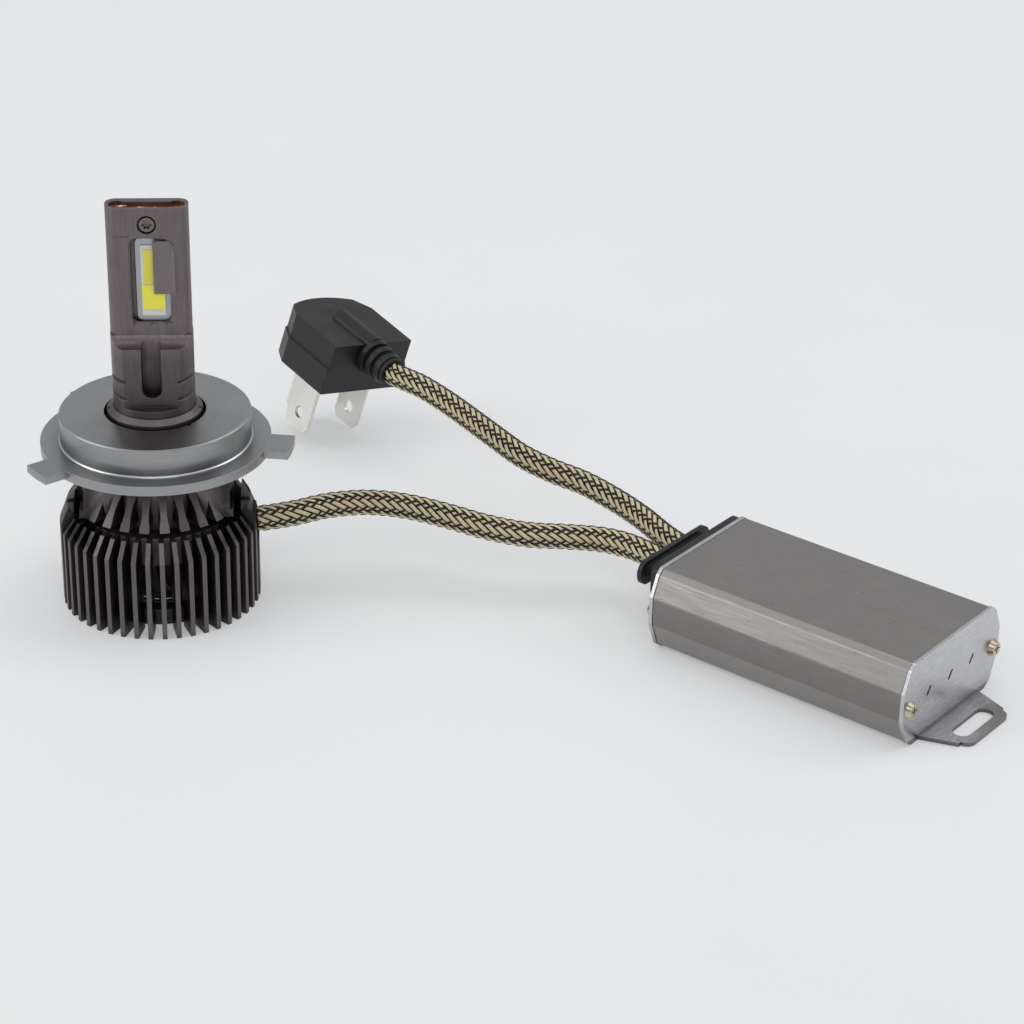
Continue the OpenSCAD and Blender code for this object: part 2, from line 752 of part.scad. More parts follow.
module driver_case() {
    color("#8b8784") in_driver_frame() {
        difference() {
            union() {
                difference() {
                    along_case(-case_l, case_l) case_outline(0);
                    along_case(-case_l - eps, case_l + 2 * eps) case_outline(case_wall);
                }
                intersection() {
                    along_case(-case_l, case_l) case_outline(0.2);
                    for (s = [-1, 1]) translate([-case_l, s * plate_screw_y, plate_screw_z]) rotate([0, 90, 0]) {
                        cylinder(r = plate_screw_r + 0.9, h = case_l);
                    }
                }
                for (s = [-1, 1]) translate([-case_l, s * 9 - 0.75, case_wall - eps]) {
                    cube([case_l, 1.5, rail_h + eps]);
                }
            }
            for (s = [-1, 1]) translate([-case_l - eps, s * plate_screw_y, plate_screw_z]) rotate([0, 90, 0]) {
                cylinder(r = plate_screw_r + fit, h = case_l + 2 * eps);
            }
        }
    }
}

module tab_outline() {
    root = case_half_w - 6.3;
    tip = root - 3.4;
    r = 2;
    difference() {
        polygon([[0, -root], [tab_l, -tip], [tab_l, tip], [0, root]]);
        translate([tab_l / 2 + 0.9, 0]) {
            square([slot_w, slot_l - slot_w], center = true);
            for (s = [-1, 1]) translate([0, s * (slot_l - slot_w) / 2]) circle(r = slot_w / 2);
        }
        for (s = [-1, 1]) translate([tab_l - r, s * (tip - r)]) difference() {
            translate([0, s > 0 ? 0 : -r - 2]) square([r + 2, r + 2]);
            circle(r = r);
        }
    }
}

// A small oblong punch mark, cut along +x.
module dent() {
    dent_w = 0.7;
    dent_l = 1.6;
    translate([0, -dent_w / 2, -dent_l / 2]) cube([1, dent_w, dent_l]);
    for (e = [-1, 1]) translate([0, 0, e * dent_l / 2]) rotate([0, 90, 0]) {
        cylinder(r = dent_w / 2, h = 1, $fn = 24);
    }
}

module driver_end_plate() {
    color("#b9babb") in_driver_frame() difference() {
        union() {
            along_case(0, plate_t) case_outline(-0.15);
            translate([plate_t - eps, 0, 0.05]) linear_extrude(plate_t) tab_outline();
        }
        for (s = [-1, 1]) translate([-eps, s * plate_screw_y, plate_screw_z]) rotate([0, 90, 0]) {
            cylinder(r = plate_screw_r + 0.15, h = plate_t + 2 * eps);
        }
        for (s = [-1, 0, 1]) translate([plate_t - 0.35, s * 7.8 - 0.6, plate_screw_z + 1]) {
            rotate([-35, 0, 0]) dent();
        }
        translate([-1, -30, -1]) cube([4 + tab_l, 60, 1]);
    }
}

module driver_front_plate() {
    color("#b9babb") in_driver_frame() translate([-case_l - plate_t, 0, 0]) difference() {
        along_case(0, plate_t) case_outline(-0.15);
        translate([0, 0, gland_z]) along_case(-eps, plate_t + 2 * eps) {
            rounded_rect(neck_w + 2 * fit, neck_h + 2 * fit, neck_round_r);
        }
        for (s = [-1, 1]) translate([-eps, s * plate_screw_y, plate_screw_z]) rotate([0, 90, 0]) {
            cylinder(r = plate_screw_r + 0.15, h = plate_t + 2 * eps);
        }
        translate([-1, -30, -1]) cube([3, 60, 1]);
    }
}

// A pan-head cross screw along +x, with its head's underside at the origin and its head on the -x side.
module plate_screw(l) {
    head_h = 1.1;
    difference() {
        union() {
            rotate([0, 90, 0]) cylinder(r = plate_screw_r, h = l);
            translate([-head_h, 0, 0]) rotate([0, 90, 0]) cylinder(r1 = 1.35, r2 = 1.75, h = head_h);
        }
        translate([-head_h - eps, 0, 0]) rotate([0, 90, 0]) cross_slot(1.9, 0.4, 0.55);
    }
}

module end_plate_screws() {
    color("#a79a86") in_driver_frame() for (s = [-1, 1]) {
        translate([plate_t, s * plate_screw_y, plate_screw_z]) rotate([0, 0, 180]) plate_screw(7);
    }
}

module front_plate_screws() {
    color("#a79a86") in_driver_frame() for (s = [-1, 1]) {
        translate([-case_l - plate_t, s * plate_screw_y, plate_screw_z]) plate_screw(7);
    }
}

module cable_gland() {
    outer_x = -case_l - plate_t - gland_reach;
    foot_x = -case_l - plate_t - gland_foot_t;
    color("#141414") in_driver_frame() translate([0, 0, gland_z]) {
        along_case(outer_x, gland_reach + plate_t + 1) rounded_rect(neck_w, neck_h, neck_round_r);
        along_case(outer_x, gland_lip) rounded_rect(gland_w, gland_h, 2.4);
        translate([0, 0, gland_foot_up]) along_case(foot_x, gland_foot_t - 0.01) {
            rounded_rect(gland_foot_w, gland_foot_h, 2.5);
        }
        along_case(-case_l + fit, 1) rounded_rect(neck_w + 3, neck_h + 1, neck_round_r);
    }
}

module driver_board() {
    color("#1f6a3c") in_driver_frame() translate([-case_l + 3, -13.5, pcb_z]) cube([case_l - 6, 27, pcb_t]);
}

module driver_inductor() {
    color("#b06a35") in_driver_frame() translate([-case_l + 17, -4, pcb_z + pcb_t]) {
        difference() {
            cylinder(r = 5.2, h = 5);
            translate([0, 0, 1]) difference() {
                cylinder(r = 6, h = 3);
                translate([0, 0, -eps]) cylinder(r = 4.4, h = 4);
            }
        }
    }
}

module driver_capacitors() {
    color("#23262b") in_driver_frame() for (x = [-14, -24]) {
        translate([x, 6, pcb_z + pcb_t]) difference() {
            cylinder(r = 3.4, h = 8);
            translate([0, 0, 1.2]) rotate_extrude() translate([3.7, 0]) circle(r = 0.5, $fn = 24);
            translate([0, 0, 7.7]) cross_slot(5, 0.3, 1);
        }
    }
}

module driver_transistors() {
    color("#202022") in_driver_frame() for (x = [-12, -22]) {
        translate([x, -9, pcb_z + pcb_t]) {
            cube([6.5, 6, 2.2]);
            translate([0.6, 6, 0]) cube([5.3, 1.4, 0.5]);
        }
    }
}

module driver_chip() {
    color("#202022") in_driver_frame() translate([-37, 4, pcb_z + pcb_t]) {
        translate([0, 1, 0.15]) cube([5, 4, 1.4]);
        for (k = [0:3]) translate([0.4 + 1.27 * k, 0, 0]) cube([0.4, 6, 0.3]);
    }
}

// ---- Leads and plug ----

module bulb_cable() {
    color("#c9bf95") cord_tube(concat([sink_exit], bulb_route, [gland_near]), [1, 0, 0], into_gland, cord_d / 2);
}

module plug_cable() {
    color("#c9bf95") cord_tube(concat([plug_exit], plug_route, [gland_far]), out_of_plug, into_gland, cord_d / 2);
}

module in_plug_frame() {
    translate(plug_at) rotate(plug_turn) children();
}

module plug_outline(inset) {
    w = plug_w / 2 - inset;
    e = plug_end_w / 2 - inset;
    l = plug_l + plug_taper_l;
    nose_r = (pow(plug_end_w / 2, 2) + pow(plug_nose, 2)) / (2 * plug_nose);
    intersection() {
        polygon([[0, -w], [0, w], [-plug_l, w], [-l, e], [-l - plug_nose, e], [-l - plug_nose, -e], [-l, -e],
            [-plug_l, -w]]);
        translate([nose_r - l - plug_nose + inset, 0]) circle(r = nose_r, $fn = 128);
    }
}

module blade_slots(grow) {
    for (s = [-1, 1]) translate([blade_x - blade_w / 2 - grow, s * blade_gap / 2 - blade_t / 2 - grow, -eps]) {
        cube([blade_w + 2 * grow, blade_t + 2 * grow, blade_in + grow + eps]);
    }
    translate([-plug_l - 2 - blade_t / 2 - grow, -blade_w / 2 - grow, -eps]) {
        cube([blade_t + 2 * grow, blade_w + 2 * grow, blade_in + grow + eps]);
    }
}

module plug_body() {
    tier_z = plug_h * 0.52;
    rib_r = 2.6;
    rib_l = 12.5;
    color("#2e2e30") in_plug_frame() difference() {
        union() {
            linear_extrude(tier_z) plug_outline(0);
            translate([0, 0, tier_z]) linear_extrude(plug_h - tier_z) plug_outline(0.35);
            intersection() {
                translate([-plug_l, 0, plug_h - 0.9]) {
                    rotate([0, 90, 0]) cylinder(r = rib_r, h = plug_l + 0.6);
                }
                translate([-rib_l, -10, plug_h - 2]) cube([rib_l + 2, 20, 10]);
            }
        }
        blade_slots(fit);
        translate([-2.5, 0, relief_z]) rotate([0, 90, 0]) cylinder(r = relief_r + 0.3, h = 5);
    }
}

module plug_strain_relief() {
    rib_pitch = 2.5;
    tail = relief_l - 3 * rib_pitch;
    color("#1c1c1d") in_plug_frame() translate([0, 0, relief_z]) rotate([0, 90, 0]) {
        translate([0, 0, -2.4]) cylinder(r = relief_r + 0.2, h = 2.4);
        cylinder(r = relief_r - 0.3, h = relief_l);
        for (k = [0:2]) translate([0, 0, 0.8 + rib_pitch * k]) {
            cylinder(r1 = relief_r + 0.9 - 0.3 * k, r2 = relief_r + 0.7 - 0.3 * k, h = 1.3);
        }
        translate([0, 0, relief_l - tail]) cylinder(r = relief_r, h = tail);
    }
}

// A flat contact blade: wide along x, thin along y, pointing down from z = blade_in.
module contact_blade() {
    w = blade_w / 2;
    rotate([90, 0, 0]) linear_extrude(blade_t, center = true) difference() {
        polygon([[-w, blade_in], [-w, 1.6 - blade_l], [1 - w, -blade_l], [w - 1.2, -blade_l], [w, 1.6 - blade_l],
            [w, blade_in]]);
        translate([0, 4.1 - blade_l]) circle(r = 1.45);
    }
}

module plug_blade_near() {
    color("#c9c5b8") in_plug_frame() translate([blade_x, -blade_gap / 2, 0]) contact_blade();
}

module plug_blade_far() {
    color("#c9c5b8") in_plug_frame() translate([blade_x, blade_gap / 2, 0]) contact_blade();
}

module plug_blade_cross() {
    color("#c9c5b8") in_plug_frame() translate([-plug_l - 2, 0, 0]) rotate([0, 0, 90]) contact_blade();
}

// ---- Nodes ----

heat_sink();
column_front();
column_rear();
copper_core();
column_screw();
color("#8a8c8c") led_board();  // led_board_front
color("#8a8c8c") mirror([0, 1, 0]) led_board();  // led_board_rear
color("#dedbd0") led_base();  // led_base_front
color("#dedbd0") mirror([0, 1, 0]) led_base();  // led_base_rear
color("#d8cc3e") led_chips();  // led_chips_front
color("#d8cc3e") mirror([0, 1, 0]) led_chips();  // led_chips_rear
color("#67605f") beam_shield();  // beam_shield_front
color("#67605f") mirror([0, 1, 0]) beam_shield();  // beam_shield_rear
collar();
collar_o_ring();
bulb_grommet();
fan_frame();
fan_bearing();
fan_rotor();
fan_shaft();
fan_magnet();
fan_stator();
fan_coils();
fan_board();
fan_guard();
fan_screws();
driver_case();
driver_end_plate();
driver_front_plate();
end_plate_screws();
front_plate_screws();
cable_gland();
driver_board();
driver_inductor();
driver_capacitors();
driver_transistors();
driver_chip();
bulb_cable();
plug_cable();
plug_body();
plug_strain_relief();
plug_blade_near();
plug_blade_far();
plug_blade_cross();
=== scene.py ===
"""The looks of the headlight bulb: materials, braided sleeves, camera and studio light round the CAD model."""
import math
import bpy
import numpy as np
from mathutils import Matrix, Vector


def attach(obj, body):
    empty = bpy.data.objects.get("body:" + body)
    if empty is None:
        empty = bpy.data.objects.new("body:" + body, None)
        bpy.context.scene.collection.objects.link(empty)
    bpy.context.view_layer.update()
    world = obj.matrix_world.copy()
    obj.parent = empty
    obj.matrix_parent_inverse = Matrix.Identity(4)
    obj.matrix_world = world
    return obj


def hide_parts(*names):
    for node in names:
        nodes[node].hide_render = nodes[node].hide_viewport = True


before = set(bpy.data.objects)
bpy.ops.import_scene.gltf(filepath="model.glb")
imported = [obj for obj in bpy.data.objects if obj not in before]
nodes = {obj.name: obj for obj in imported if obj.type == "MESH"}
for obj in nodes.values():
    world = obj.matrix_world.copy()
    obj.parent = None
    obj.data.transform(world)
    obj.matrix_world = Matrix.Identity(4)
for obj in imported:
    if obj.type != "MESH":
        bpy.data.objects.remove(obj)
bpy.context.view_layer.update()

# The CAD model's row frame in millimetres, repeated from part.scad.
MM = 0.001
FLOOR_Z = -35.5
DRIVER_AT = (151.65, -53.1, FLOOR_Z)
DRIVER_YAW = -41.7


# ------------------------------------------------------------------ camera

cam_data = bpy.data.cameras.new("camera")
cam = bpy.data.objects.new("camera", cam_data)
bpy.context.scene.collection.objects.link(cam)
right = Vector((0.998207, -0.057356, 0.017176)).normalized()
forward = Vector((0.058807, 0.885380, -0.46113)).normalized()
right = (right - forward * right.dot(forward)).normalized()
up = right.cross(forward).normalized()
cam.matrix_world = Matrix((
    (right.x, up.x, -forward.x, 36.12 * MM),
    (right.y, up.y, -forward.y, -530.24 * MM),
    (right.z, up.z, -forward.z, 257.97 * MM),
    (0, 0, 0, 1),
))
cam_data.sensor_width = 36
cam_data.lens = 103.43
cam_data.clip_start = 0.01
cam_data.clip_end = 50
bpy.context.scene.camera = cam

# ------------------------------------------------------------------ node helpers


TO_MM = 1000.0
DEGREES = math.degrees(1)
# The colour sockets of a Mix node.
COLOUR_A, COLOUR_B, COLOUR_OUT = 6, 7, 2


class Mat:
    """A material being built: each method adds nodes and returns an output socket."""

    def __init__(self, name, metallic=0.0, roughness=0.5, specular=0.5, sheen=0.0):
        self.material = bpy.data.materials.new(name)
        self.material.use_nodes = True
        self.tree = self.material.node_tree
        self.tree.nodes.clear()
        out = self.tree.nodes.new("ShaderNodeOutputMaterial")
        self.shader = self.tree.nodes.new("ShaderNodeBsdfPrincipled")
        self.tree.links.new(self.shader.outputs[0], out.inputs["Surface"])
        for socket, value in (("Metallic", metallic), ("Roughness", roughness), ("Specular IOR Level", specular),
                              ("Sheen Weight", sheen)):
            self.shader.inputs[socket].default_value = value

    def node(self, kind, **values):
        n = self.tree.nodes.new(kind)
        for k, v in values.items():
            setattr(n, k, v)
        return n

    def link(self, a, b):
        self.tree.links.new(a, b)

    def put(self, socket, value):
        if hasattr(value, "is_output"):
            self.link(value, socket)
        else:
            socket.default_value = value

    def coords(self, scale=(1, 1, 1), turn_z=0.0, at=(0, 0, 0)):
        """Object coordinates in millimetres, moved by -at, turned by -turn_z about Z, then scaled."""
        tc = self.node("ShaderNodeTexCoord")
        m1 = self.node("ShaderNodeMapping", vector_type="POINT")
        m1.inputs["Location"].default_value = [-c for c in at]
        m1.inputs["Scale"].default_value = (TO_MM, TO_MM, TO_MM)
        self.link(tc.outputs["Object"], m1.inputs["Vector"])
        m2 = self.node("ShaderNodeMapping", vector_type="POINT")
        m2.inputs["Rotation"].default_value = (0, 0, -turn_z)
        self.link(m1.outputs[0], m2.inputs["Vector"])
        m3 = self.node("ShaderNodeMapping", vector_type="POINT")
        m3.inputs["Scale"].default_value = scale
        self.link(m2.outputs[0], m3.inputs["Vector"])
        return m3.outputs[0]

    def polar(self, scale):
        """Angle, height and radius about the row's Z, in degrees and millimetres, scaled: for turned parts."""
        s = self.split(self.node("ShaderNodeTexCoord").outputs["Object"])
        angle = self.math("ARCTAN2", s["Y"], s["X"])
        r2 = self.math("ADD", self.math("MULTIPLY", s["X"], s["X"]),
                       self.math("MULTIPLY", s["Y"], s["Y"]))
        radius = self.math("SQRT", r2)
        c = self.node("ShaderNodeCombineXYZ")
        self.link(self.math("MULTIPLY", angle, DEGREES * scale[0]), c.inputs[0])
        self.link(self.math("MULTIPLY", s["Z"], TO_MM * scale[1]), c.inputs[1])
        self.link(self.math("MULTIPLY", radius, TO_MM * scale[2]), c.inputs[2])
        return c.outputs[0]

    def math(self, op, a, b=0.0):
        n = self.node("ShaderNodeMath", operation=op)
        self.put(n.inputs[0], a)
        self.put(n.inputs[1], b)
        return n.outputs[0]

    def noise(self, vector, detail, rough):
        n = self.node("ShaderNodeTexNoise")
        n.inputs["Scale"].default_value = 1.0
        n.inputs["Detail"].default_value = detail
        n.inputs["Roughness"].default_value = rough
        self.link(vector, n.inputs["Vector"])
        return n.outputs["Fac"]

    def remap(self, value, from_low, from_high, to_low=0.0, to_high=1.0):
        n = self.node("ShaderNodeMapRange")
        n.clamp = True
        self.put(n.inputs["Value"], value)
        n.inputs["From Min"].default_value = from_low
        n.inputs["From Max"].default_value = from_high
        n.inputs["To Min"].default_value = to_low
        n.inputs["To Max"].default_value = to_high
        return n.outputs["Result"]

    def mix(self, fac, a, b):
        """Colour a where fac is 0, colour b where it is 1."""
        n = self.node("ShaderNodeMix", data_type="RGBA")
        self.put(n.inputs["Factor"], fac)
        for index, colour in ((COLOUR_A, a), (COLOUR_B, b)):
            self.put(n.inputs[index], colour if hasattr(colour, "is_output") else (*colour, 1.0))
        return n.outputs[COLOUR_OUT]

    def place(self, axis="Z"):
        """The place along an axis of the row frame, in millimetres."""
        return self.math("MULTIPLY", self.split(self.node("ShaderNodeTexCoord").outputs["Object"])[axis], TO_MM)

    def split(self, vector):
        n = self.node("ShaderNodeSeparateXYZ")
        self.link(vector, n.inputs[0])
        return n.outputs

    def levels(self, steps):
        """A factor that runs from one (height in mm, factor) pair to the next, flat before and after them."""
        z = self.place()
        value = steps[0][1]
        for (z0, f0), (z1, f1) in zip(steps, steps[1:]):
            value = self.math("ADD", self.remap(z, z0, z1, 0.0, f1 - f0), value)
        return value

    def edges(self, radius):
        """0 on flats, up to 1 on edges: where a rounded normal differs from the real one."""
        g = self.node("ShaderNodeNewGeometry")
        d = self.node("ShaderNodeVectorMath", operation="DOT_PRODUCT")
        self.link(self.soft_normal(radius), d.inputs[0])
        self.link(g.outputs["Normal"], d.inputs[1])
        return self.remap(d.outputs["Value"], 0.995, 0.80)

    def gap_shade_mask(self, distance):
        """0 on open faces, up to 1 deep in crevices and inner corners, by ambient occlusion: the mask of painted
        shade.
        """
        n = self.node("ShaderNodeAmbientOcclusion", samples=8)
        n.inputs["Distance"].default_value = distance * MM
        return self.remap(n.outputs["AO"], 0.75, 0.15)

    def bump(self, height, strength=0.2, distance=0.05, normal=None):
        n = self.node("ShaderNodeBump")
        n.inputs["Strength"].default_value = strength
        n.inputs["Distance"].default_value = distance * MM
        self.link(height, n.inputs["Height"])
        if normal is not None:
            self.link(normal, n.inputs["Normal"])
        return n.outputs[0]

    def soft_normal(self, radius):
        """The normal with every edge rounded to that radius, in millimetres."""
        b = self.node("ShaderNodeBevel", samples=6)
        b.inputs["Radius"].default_value = radius * MM
        return b.outputs[0]

    def finish(self, colour, roughness=None, normal=None):
        self.put(self.shader.inputs["Base Color"], colour if hasattr(colour, "is_output") else (*colour, 1.0))
        if roughness is not None:
            self.put(self.shader.inputs["Roughness"], roughness)
        if normal is not None:
            self.link(normal, self.shader.inputs["Normal"])
        return self.material


def lin(r, g, b):
    """An sRGB colour as 0..255, made linear."""
    out = []
    for c in (r, g, b):
        c = c / 255
        out.append(c / 12.92 if c <= 0.04045 else ((c + 0.055) / 1.055) ** 2.4)
    return tuple(out)


# ------------------------------------------------------------------ materials


def scaled(colour, factor):
    return tuple(c * factor for c in colour)


def metal(name, colour, roughness, metallic, grain, grain_bump, streak=None, turn_z=0.0, at=(0, 0, 0), spread=0.12,
          edge_lightening=0.35, edge_lightening_radius=0.18, soft=0.12, specks=0.0, turned=None, painted_gap_shade=None, shade=None, brushed=0.0,
          flank_shade=None):
    """A metal with a fine grain, long streaks or turning marks, bright edges and a few specks. The bright edges
    are partly rubbed bare and partly a painted highlight.

    The gap setting is the reach and depth of painted shade in crevices and inner corners, shade a factor by height
    as levels takes it for painted shade by height, brushed the anisotropy round Z, and the flank setting a painted
    shade that fades in over two |x| values and two heights, to a depth.
    """
    m = Mat(name, metallic=metallic, roughness=roughness)
    cloud = m.noise(m.coords((0.11, 0.11, 0.11)), 4.0, 0.6)
    base = m.mix(m.remap(cloud, 0.3, 0.7), scaled(colour, 1 - spread), scaled(colour, 1 + spread))
    fine = m.noise(m.coords((grain, grain, grain)), 2.0, 0.7)
    base = m.mix(m.remap(fine, 0.35, 0.65, 0.0, 0.5), base, scaled(colour, 0.86))
    height = fine
    rough = m.remap(fine, 0.3, 0.7, roughness - 0.05, roughness + 0.07)
    if streak is not None:
        lines = m.noise(m.coords(streak, turn_z, at), 4.0, 0.62)
        base = m.mix(m.remap(lines, 0.3, 0.7, 0.0, 0.75), base, scaled(colour, 0.8))
        rough = m.remap(lines, 0.3, 0.7, roughness - 0.07, roughness + 0.1)
        height = m.math("ADD", fine, m.math("MULTIPLY", lines, 1.6))
    if turned is not None:
        rings = m.noise(m.polar(turned), 3.0, 0.6)
        base = m.mix(m.remap(rings, 0.3, 0.7, 0.0, 0.6), base, scaled(colour, 0.84))
        height = m.math("ADD", fine, m.math("MULTIPLY", rings, 1.4))
        rough = m.remap(rings, 0.3, 0.7, roughness - 0.06, roughness + 0.09)
    if specks:
        dots = m.noise(m.coords((1.9, 1.9, 1.9)), 1.0, 0.4)
        base = m.mix(m.remap(dots, 0.76, 0.80, 0.0, specks), base, (0.01, 0.01, 0.01))
    # Bright edges: partly rubbed bare, partly a painted highlight.
    if edge_lightening:
        edge_tone = m.noise(m.coords((0.9, 0.9, 0.9)), 4.0, 0.6)
        rubbed_and_highlit_edge = m.math("MULTIPLY", m.edges(edge_lightening_radius), m.remap(edge_tone, 0.35, 0.65, 0.25, 1.0))
        base = m.mix(m.math("MULTIPLY", rubbed_and_highlit_edge, edge_lightening), base, (0.75, 0.75, 0.76))
    # Painted shade: the colour darkened deep in crevices and inner corners.
    if painted_gap_shade is not None:
        distance, depth = painted_gap_shade
        base = m.mix(m.math("MULTIPLY", m.gap_shade_mask(distance), depth), base, scaled(colour, 0.08))
    if brushed:
        m.shader.inputs["Anisotropic"].default_value = brushed
        tangent = m.node("ShaderNodeTangent", direction_type="RADIAL", axis="Z")
        m.link(tangent.outputs[0], m.shader.inputs["Tangent"])
    # Painted shade by height.
    if shade is not None:
        base = m.mix(m.levels(shade), SHADE_BLACK, base)
    # Painted shade on both sides, fading in beyond an |x| and above a height.
    if flank_shade is not None:
        x_from, x_to, z_from, z_to, depth = flank_shade
        out = m.remap(m.math("ABSOLUTE", m.place("X")), x_from, x_to)
        up = m.remap(m.place(), z_from, z_to, 0.0, depth)
        base = m.mix(m.math("MULTIPLY", out, up), base, SHADE_BLACK)
    normal = m.bump(height, grain_bump, 0.02, m.soft_normal(soft) if soft else None)
    return m.finish(base, rough, normal)


def plastic(name, colour, roughness, specular, grain, grain_bump, dust=0.15, edge_lightening=0.2, soft=0.2):
    """Moulded plastic or rubber: grained, a little dusty, lighter on its edges."""
    m = Mat(name, roughness=roughness, specular=specular)
    light = tuple(min(1.0, c * 1.5 + 0.004) for c in colour)
    cloud = m.noise(m.coords((0.16, 0.16, 0.16)), 5.0, 0.6)
    base = m.mix(m.remap(cloud, 0.3, 0.7, 0.0, 0.6), colour, light)
    fine = m.noise(m.coords((grain, grain, grain)), 2.0, 0.7)
    base = m.mix(m.remap(fine, 0.3, 0.75, 0.0, 0.35), base, scaled(colour, 0.7))
    specks = m.noise(m.coords((3.1, 3.1, 3.1)), 1.0, 0.5)
    base = m.mix(m.remap(specks, 0.70, 0.80, 0.0, dust), base, (0.45, 0.45, 0.44))
    if edge_lightening:
        edge_tone = tuple(min(1.0, c * 3 + 0.03) for c in colour)
        base = m.mix(m.math("MULTIPLY", m.edges(0.3), edge_lightening), base, edge_tone)
    rough = m.remap(cloud, 0.3, 0.7, roughness - 0.08, roughness + 0.08)
    normal = m.bump(fine, grain_bump, 0.03, m.soft_normal(soft) if soft else None)
    return m.finish(base, rough, normal)


# The colour that painted shade darkens towards.
SHADE_BLACK = (0.0, 0.0, 0.0)
MATS = {}


def make_materials():
    # In these metals the bright edges are partly rubbed bare and partly a painted highlight.
    along_driver = {"turn_z": math.radians(DRIVER_YAW), "at": DRIVER_AT}
    # Sink: painted shade deep between the fins, and painted shade on both cheeks, above -17.5 mm and beyond 13.5
    # mm out.
    MATS["sink"] = metal("sink_anodised", (0.165, 0.143, 0.148), 0.42, 0.9, 12, 0.15, streak=(3.0, 3.0, 0.25),
                         spread=0.14, edge_lightening=0.12, edge_lightening_radius=0.12, soft=0.08, specks=0.25, painted_gap_shade=(3.0, 0.95),
                         flank_shade=(10.5, 13.5, -19.5, -17.5, 0.75))
    # Column: painted shade in its groove and recesses, and painted shade on the lower body below the shoulder.
    MATS["column"] = metal("column_anodised", (0.195, 0.165, 0.169), 0.42, 0.9, 16, 0.10, streak=(2.2, 2.2, 0.15),
                           spread=0.08, edge_lightening=0.22, edge_lightening_radius=0.16, soft=0.16, painted_gap_shade=(4.5, 0.95),
                           shade=((18.5, 0.70), (22.5, 1.0)))
    # Shield: strongly brightened edges, mostly a painted highlight.
    MATS["shield"] = metal("shield_anodised", (0.20, 0.172, 0.176), 0.36, 0.9, 16, 0.08, spread=0.06, edge_lightening=0.5,
                           edge_lightening_radius=0.2, soft=0.12)
    # Collar: painted shade on the flange round the boss's foot.
    MATS["collar"] = metal("collar_turned", (0.36, 0.365, 0.37), 0.34, 1.0, 18, 0.07, turned=(0.03, 6.0, 6.0),
                           spread=0.05, edge_lightening=0.45, edge_lightening_radius=0.16, soft=0.12, painted_gap_shade=(8.0, 0.8), brushed=0.7)
    MATS["board"] = metal("lamp_board", (0.42, 0.44, 0.47), 0.38, 0.8, 12, 0.08, spread=0.06, edge_lightening=0.3)
    # Case: painted shade on the side band from -29.3 to -22.9 mm, darker than the lowest facet and the top.
    MATS["case"] = metal("case_drawn", (0.33, 0.315, 0.305), 0.36, 1.0, 11, 0.14, streak=(0.12, 5.5, 5.5),
                         spread=0.05, edge_lightening=0.10, edge_lightening_radius=0.2, soft=0.3, specks=0.8,
                         shade=((-29.3, 1.25), (-28.8, 0.70), (-23.5, 0.78), (-22.9, 1.0)), **along_driver)
    # Plates: painted shade in recesses, and painted shade on the lowest strip, below -34.1 mm.
    MATS["plate"] = metal("plate_zinc", (0.60, 0.60, 0.62), 0.27, 1.0, 9, 0.12, streak=(3.0, 0.35, 3.0),
                          spread=0.10, edge_lightening=0.35, edge_lightening_radius=0.14, soft=0.15, painted_gap_shade=(9.0, 0.9),
                          shade=((-34.5, 0.45), (-34.1, 1.0)), **along_driver)
    MATS["screw"] = metal("screw_nickel", (0.62, 0.53, 0.42), 0.22, 1.0, 10, 0.08, spread=0.1, edge_lightening=0.3, soft=0.1)
    # Dark screw: painted shade in the head's recess.
    MATS["screw_dark"] = metal("screw_dark", (0.20, 0.165, 0.14), 0.35, 1.0, 12, 0.1, spread=0.15, edge_lightening=0.4,
                               soft=0.06, painted_gap_shade=(1.0, 1.0))
    MATS["steel"] = metal("steel_ground", (0.62, 0.62, 0.63), 0.25, 1.0, 12, 0.06, spread=0.06, edge_lightening=0.2)
    MATS["stator"] = metal("stator_laminated", (0.30, 0.30, 0.31), 0.45, 1.0, 12, 0.2, streak=(0.2, 0.2, 9.0))
    MATS["bronze"] = metal("bearing_bronze", (0.55, 0.36, 0.16), 0.4, 1.0, 14, 0.2)
    MATS["magnet"] = metal("magnet_ferrite", (0.07, 0.065, 0.06), 0.6, 0.3, 9, 0.3)
    MATS["guard"] = metal("guard_painted", (0.035, 0.035, 0.037), 0.45, 0.1, 12, 0.2)
    MATS["blade"] = metal("blade_tinned", (0.80, 0.785, 0.745), 0.42, 0.85, 6, 0.25, spread=0.10, edge_lightening=0.25,
                          edge_lightening_radius=0.12, soft=0.08, specks=0.3)
    MATS["plug"] = plastic("plug_moulded", (0.010, 0.010, 0.0115), 0.42, 0.38, 7, 0.25, dust=0.10, soft=0.35)
    MATS["relief"] = plastic("relief_rubber", (0.009, 0.009, 0.010), 0.42, 0.35, 7, 0.25, dust=0.08, soft=0.25)
    MATS["gland"] = plastic("gland_rubber", (0.010, 0.010, 0.012), 0.45, 0.38, 7, 0.25, dust=0.10, edge_lightening=0.25,
                            soft=0.3)
    MATS["rubber"] = plastic("seal_rubber", (0.012, 0.012, 0.012), 0.6, 0.4, 9, 0.25)
    MATS["fan"] = plastic("fan_plastic", (0.022, 0.022, 0.024), 0.4, 0.5, 9, 0.15)
    MATS["chip"] = plastic("chip_black", (0.02, 0.02, 0.022), 0.5, 0.5, 12, 0.2)
